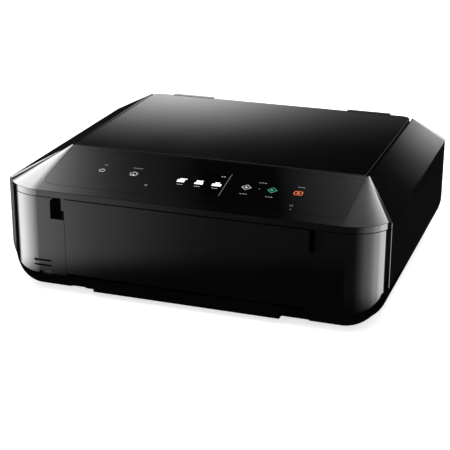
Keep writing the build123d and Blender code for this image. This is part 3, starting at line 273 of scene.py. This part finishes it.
# metres: clearance under a mark, and its thickness
markLift = 0.00004
markThickness = 0.00012


def stamp(name, outlines, middle, material, body, across=toRight, up=upSlope, out=slope):
    # each outline is a closed loop of flat points in millimetres, raised into a thin plate
    verts = []
    faces = []
    for loop in outlines:
        loop = np.asarray(loop, float) / 1000
        area = np.sum(loop[:, 0] * np.roll(loop[:, 1], -1) - np.roll(loop[:, 0], -1) * loop[:, 1])
        if area < 0:
            loop = loop[::-1]
        count = len(loop)
        start = sum(len(v) for v in verts)
        flat = middle + loop[:, :1] * across + loop[:, 1:] * up
        verts += [flat + out * markLift, flat + out * (markLift + markThickness)]
        faces.append([start + count + i for i in range(count)])
        faces.append([start + i for i in reversed(range(count))])
        for i in range(count):
            j = (i + 1) % count
            faces.append([start + i, start + j, start + count + j, start + count + i])
    piece = makeMesh(name, np.vstack(verts), faces, material)
    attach(piece, body)
    return piece


def band(path, width, closed=False):
    # a line of even width: the path moved half a width to each side along its normals
    path = np.asarray(path, float)
    if closed:
        step = np.roll(path, -1, 0) - np.roll(path, 1, 0)
    else:
        step = np.gradient(path, axis=0)
    normal = np.stack([-step[:, 1], step[:, 0]], 1) / np.linalg.norm(step, axis=1)[:, None]
    left = path + normal * width / 2
    right = path - normal * width / 2
    loops = []
    count = len(path) if closed else len(path) - 1
    for i in range(count):
        j = (i + 1) % len(path)
        loops.append([left[i], left[j], right[j], right[i]])
    return loops


def bar(x0, y0, x1, y1):
    return [(x0, y0), (x1, y0), (x1, y1), (x0, y1)]


def disc(x, y, radius, count=20):
    # points spaced evenly round a circle
    angle = np.linspace(0, 2 * np.pi, count, endpoint=False)
    return np.stack([x + radius * np.cos(angle), y + radius * np.sin(angle)], 1)


def arc(x, y, radius, start, end, count=24):
    # part of a circle between two angles in degrees
    angle = np.radians(np.linspace(start, end, count))
    return np.stack([x + radius * np.cos(angle), y + radius * np.sin(angle)], 1)


# print colours with a painted glow: on the printed icons and labels the emission stands in for lamp light
# falling on them; on the display and the small lamps it is their own light
printWhiteGlow = glowing("printWhiteGlow", (0.62, 0.62, 0.62), 0.12)
printDimGlow = glowing("printDimGlow", (0.3, 0.3, 0.3), 0.05)
printGreenGlow = glowing("printGreenGlow", (0.05, 0.42, 0.22), 0.2)
printOrangeGlow = glowing("printOrangeGlow", (0.8, 0.14, 0.04), 0.35)
screenLit = glowing("screenLit", (0.8, 0.82, 0.84), 0.9)

# millimetres: line widths of the drawn signs
icon = {"stroke": 0.7, "heavy": 0.9}


def rounded(halfWide, halfHigh, radius, count=6):
    # a rectangle with a quarter circle at each corner
    loop = []
    for cx, cy, start in ((1, 1, 0), (-1, 1, 90), (-1, -1, 180), (1, -1, 270)):
        corner = arc(cx * (halfWide - radius), cy * (halfHigh - radius), radius, start, start + 90, count)
        loop += list(corner)
    return np.array(loop)


def diamond(size):
    return np.array([(0, size), (size, 0), (0, -size), (-size, 0)])


def powerIcon():
    ring = band(arc(0, 0, 3.2, 120, 420, 28), icon["stroke"])
    return ring + [bar(-0.35, 0.4, 0.35, 4.2)]


def houseIcon():
    roof = band([(-5, 0.2), (0, 4.6), (5, 0.2)], icon["heavy"])
    walls = band([(-3.6, 0), (-3.6, -4), (3.6, -4), (3.6, 0)], icon["heavy"])
    return roof + walls + [bar(-1, -3.6, 1, -0.6)]


def startIcon():
    return band(diamond(5.4), icon["heavy"], closed=True) + [[(-1.6, -2.0), (2.4, 0), (-1.6, 2.0)]]


def stopIcon():
    return band(rounded(4.6, 3.8, 2.0), icon["heavy"], closed=True) + [bar(-1.6, -1.4, 1.6, 1.4)]


def labelBars(widths, height=1.1, gap=0.8):
    # a row of short plain bars where a word would be
    total = sum(widths) + gap * (len(widths) - 1)
    x = -total / 2
    loops = []
    for width in widths:
        loops.append(bar(x, -height / 2, x + width, height / 2))
        x += width + gap
    return loops


keyMarks = {
    "power_button": (powerIcon, printWhiteGlow, (0.3, 12.6), (1.6, 1.6)),
    "home_button": (houseIcon, printWhiteGlow, (0.4, 12.8), (2.2, 2.2, 2.2, 2.2)),
    "black_start_button": (startIcon, printWhiteGlow, (0.6, -14.6), (2.2, 2.2, 2.2)),
    "colour_start_button": (startIcon, printGreenGlow, (0.4, -14.9), (2.2, 2.2, 2.2)),
    "stop_button": (stopIcon, printOrangeGlow, (0.4, 13.0), (2.0, 2.0, 2.0)),
}
# key icons and their labels are print given a painted glow by their emission
for key, (draw, material, labelAt, labelWidths) in keyMarks.items():
    middle = topOf(key)
    stamp(key + "_icon", draw(), middle, material, key)
    labelMiddle = middle + toRight * labelAt[0] / 1000 + upSlope * labelAt[1] / 1000
    stamp(key + "_label", labelBars(labelWidths), labelMiddle, printDimGlow, "scanner_unit")

# the start label is print with a painted glow; the start lamp glows as a lamp
startMiddle = (topOf("black_start_button") + topOf("colour_start_button")) / 2
stamp(
    "start_label", labelBars((2.4, 2.4, 2.4)), startMiddle + upSlope * 0.0132, printDimGlow,
    "scanner_unit"
)
stamp("start_lamp", [disc(0, 0, 0.7)], startMiddle, printDimGlow, "scanner_unit")
homeMiddle = topOf("home_button")
stamp(
    "link_lamp", band(arc(0, -1.6, 3.0, 45, 135, 10), 0.6) + band(arc(0, -1.6, 1.6, 45, 135, 8), 0.6)
    + [disc(0, -1.4, 0.6, 10)],
    homeMiddle + toRight * 0.0235 - upSlope * 0.0218, printDimGlow, "scanner_unit"
)
stopMiddle = topOf("stop_button")
# the alarm mark is print with a painted glow
alarm = band([(0, 1.8), (2.1, -1.6), (-2.1, -1.6)], 0.5, closed=True)
stamp("alarm_mark", alarm, stopMiddle - upSlope * 0.0265, printDimGlow, "scanner_unit")
stamp(
    "alarm_lamp", [disc(0, 0, 0.7)], stopMiddle + toRight * 0.001 - upSlope * 0.035, printDimGlow,
    "scanner_unit"
)

# the display: three tiles with simple pictures, a status row and a pale edge on the right
screen = {"tileAt": (-21.0, 0.0, 21.0), "tileUp": -0.6}
screenMiddle = topOf("lcd_module")
tileLoops = []
for tile, x in enumerate(screen["tileAt"]):
    up = screen["tileUp"]
    if tile == 0:
        tileLoops += [bar(x - 5.4, up - 3.6, x + 3.4, up + 2.4), bar(x - 3.2, up + 3.0, x + 5.4, up + 4.6)]
    elif tile == 1:
        tileLoops += [bar(x - 5.0, up - 4.0, x + 5.0, up - 1.0), bar(x - 4.0, up + 0.0, x + 4.0, up + 4.2)]
    else:
        tileLoops += [bar(x - 5.4, up - 3.8, x + 5.4, up + 1.2), bar(x - 2.6, up + 1.8, x + 2.6, up + 4.4)]
stamp("screen_tiles", tileLoops, screenMiddle, screenLit, "scanner_unit")
rows = []
for x in screen["tileAt"]:
    rows += [np.array(loop) + (x, -9.4) for loop in labelBars((1.6, 1.6, 1.6), 0.9)]
rows += [np.array(loop) + (23.0, 17.5) for loop in labelBars((2.0, 2.0), 1.0)]
stamp("screen_rows", rows, screenMiddle, printWhiteGlow, "scanner_unit")
stamp(
    "screen_edge", [bar(30.6, -24.5, 31.0, 25.0)], screenMiddle, printDimGlow, "scanner_unit"
)
print("panel marks done")


# ---- floor, light and camera

floorMesh = bpy.data.meshes.new("floor")
floorMesh.from_pydata([(-9, -9, 0), (9, -9, 0), (9, 9, 0), (-9, 9, 0)], [], [(0, 1, 2, 3)])
floor = bpy.data.objects.new("floor", floorMesh)
bpy.context.scene.collection.objects.link(floor)
floor.visible_glossy = False
floorMaterial = bpy.data.materials.new("floorPaper")
tree = Tree(floorMaterial)
place = tree.node("ShaderNodeTexCoord", out=3)
paper = tree.node("ShaderNodeTexNoise", inputs={"Vector": place, "Scale": 3.0})
tone = tree.node(
    "ShaderNodeMix", {"data_type": "RGBA"},
    {"Factor": paper, "A": (0.9, 0.9, 0.9, 1), "B": (0.93, 0.93, 0.93, 1)}, out=2
)
finishMaterial(tree, tree.node("ShaderNodeBsdfPrincipled", inputs={
    "Base Color": tone, "Roughness": 0.9, "Specular IOR Level": 0.0,
    "Emission Color": (1, 1, 1, 1), "Emission Strength": 0.72
}))
floorMesh.materials.append(floorMaterial)

# the studio: below the horizon a ring of cards stands round the object, and above it three soft boxes
studio = {
    # degrees right of straight back, and the level there
    "ring": [
        (-180, 0.005), (-165, 0.006), (-160, 0.01), (-158, 0.022), (-156.5, 0.045), (-154.7, 0.075),
        (-153, 0.14), (-151, 0.22), (-145, 0.4), (-135, 0.62), (-120, 0.85), (-108, 0.95), (-95, 0.8),
        (-87, 0.6), (-82, 0.15), (-77, 0.0008), (25, 0.0008), (38, 0.15), (48, 0.52), (60, 0.63),
        (72, 0.7), (84, 0.8), (93, 0.48), (101, 0.45), (110, 0.28), (119, 0.18), (129, 0.135),
        (140, 0.06), (150, 0.02), (157, 0.006), (180, 0.005),
    ],
    "ringStrength": 12.0,
    "sky": 0.005,
}
world = bpy.data.worlds.new("studio")
bpy.context.scene.world = world
tree = Tree(world)
direction = tree.node("ShaderNodeTexCoord", out=0)
x, y, z = tree.axes(direction)
compass = x.op("ARCTAN2", x, y) * (180 / math.pi)      # degrees right of straight back
rise = x.op("ARCSINE", z) * (180 / math.pi)
ringStops = [((turn + 180) / 360, level) for turn, level in studio["ring"]]
ring = tree.node("ShaderNodeValToRGB", {"stops": ringStops}, {"Fac": (compass + 180) / 360})
ringFoot = (compass > 0) * -1.65 - 22.25
ring = ring * (rise - ringFoot).ramp(-0.35, 0.35) * studio["ringStrength"]
# low box behind on the left: its level falls with the square of the height
spread = (compass + 21) * (compass + 21) / 26
lowBox = x.op("POWER", ((17.2 - rise) / 2).op("MAXIMUM", (17.2 - rise) / 2, 0.0), 2.0)
lowBox = lowBox.op("MINIMUM", lowBox, 1.6) * (x.op("EXPONENT", 0 - spread) * 1.4 + 0.12)
# low box behind on the right
rightLow = ((20 - rise) / 2.7).op("MAXIMUM", (20 - rise) / 2.7, 0.0)
rightLow = rightLow.op("MINIMUM", rightLow * rightLow * rightLow, 1.4) * 1.9
rightLow = rightLow * (compass + 8).ramp(0.0, 10.0) * (1 - (compass - 7.3).ramp(0.0, 2.4) * 0.9)
# tall box on the left and round box on the right, both behind
tall = (0 - compass - 28).ramp(0.0, 8.0)
tall = tall * tall * tall * 7 * rise.ramp(18.0, 24.0) * (1 - rise.ramp(36.0, 41.0) * 0.85)
tall = tall * (1 - (0 - compass).ramp(45.0, 70.0))
crown = (compass + 17).ramp(0.0, 17.0)
crown = x.op("POWER", crown, 1.1) * 6 * (1 - (compass - 12).ramp(0.0, 20.0))
crown = crown * rise.ramp(23.0, 28.0) * x.op("POWER", 1 - rise.ramp(37.5, 45.5), 1.3)
veil = (0 - compass - 25).ramp(0.0, 8.0) * 0.25 + (compass + 21).ramp(0.0, 6.0) * 0.42
veil = veil * rise.ramp(30.0, 36.0) * (1 - rise.ramp(60.0, 80.0))
overhead = rise.ramp(55.0, 75.0) * 0.25
front = (0 - y).ramp(0.2, 0.8) * rise.ramp(5.0, 25.0) * 0.6
high = lowBox + rightLow + tall + crown + veil + overhead + front + studio["sky"]
isHigh = z > 0.0
level = ring * (1 - isHigh) + high * isHigh
cameraRay = tree.node("ShaderNodeLightPath", out=0)
shown = level * (1 - cameraRay) + cameraRay
background = tree.node("ShaderNodeBackground", inputs={"Color": (1, 1, 1, 1), "Strength": shown})
out = tree.tree.nodes.new("ShaderNodeOutputWorld")
tree.tree.links.new(background.out, out.inputs["Surface"])


def areaLight(name, at, target, size, watts):
    # a square lamp whose back points away from its target
    data = bpy.data.lights.new(name, "AREA")
    data.shape = "SQUARE"
    data.size = size
    data.energy = watts
    lamp = bpy.data.objects.new(name, data)
    bpy.context.scene.collection.objects.link(lamp)
    toward = np.array(target, float) - np.array(at, float)
    toward /= np.linalg.norm(toward)
    side = np.cross(toward, (0, 1, 0))
    side /= np.linalg.norm(side)
    above = np.cross(side, toward)
    lamp.matrix_world = Matrix((
        (side[0], above[0], -toward[0], at[0]), (side[1], above[1], -toward[1], at[1]),
        (side[2], above[2], -toward[2], at[2]), (0, 0, 0, 1)
    ))
    lamp.visible_glossy = False
    return lamp


areaLight("overhead", (0.2, -0.3, 2.4), (0, 0, 0), 2.2, 28)

view = {"at": (0.477, -1.4214, 0.6042), "turn": 0.3327, "tilt": 0.3605, "roll": 0.0028, "lens": 102.9}
camera = bpy.data.objects.new("camera", bpy.data.cameras.new("camera"))
bpy.context.scene.collection.objects.link(camera)
camera.data.lens = view["lens"]
camera.data.sensor_width = 36
turn, tilt, roll = view["turn"], view["tilt"], view["roll"]
forward = np.array([-math.sin(turn) * math.cos(tilt), math.cos(turn) * math.cos(tilt), -math.sin(tilt)])
side = np.array([math.cos(turn), math.sin(turn), 0])
above = np.cross(side, forward)
rolledSide = math.cos(roll) * side + math.sin(roll) * above
rolledAbove = -math.sin(roll) * side + math.cos(roll) * above
rows = [[rolledSide[i], rolledAbove[i], -forward[i], view["at"][i]] for i in range(3)]
camera.matrix_world = Matrix(rows + [[0, 0, 0, 1]])
bpy.context.scene.camera = camera
bpy.context.scene.view_settings.view_transform = "Standard"
print("light and camera set")
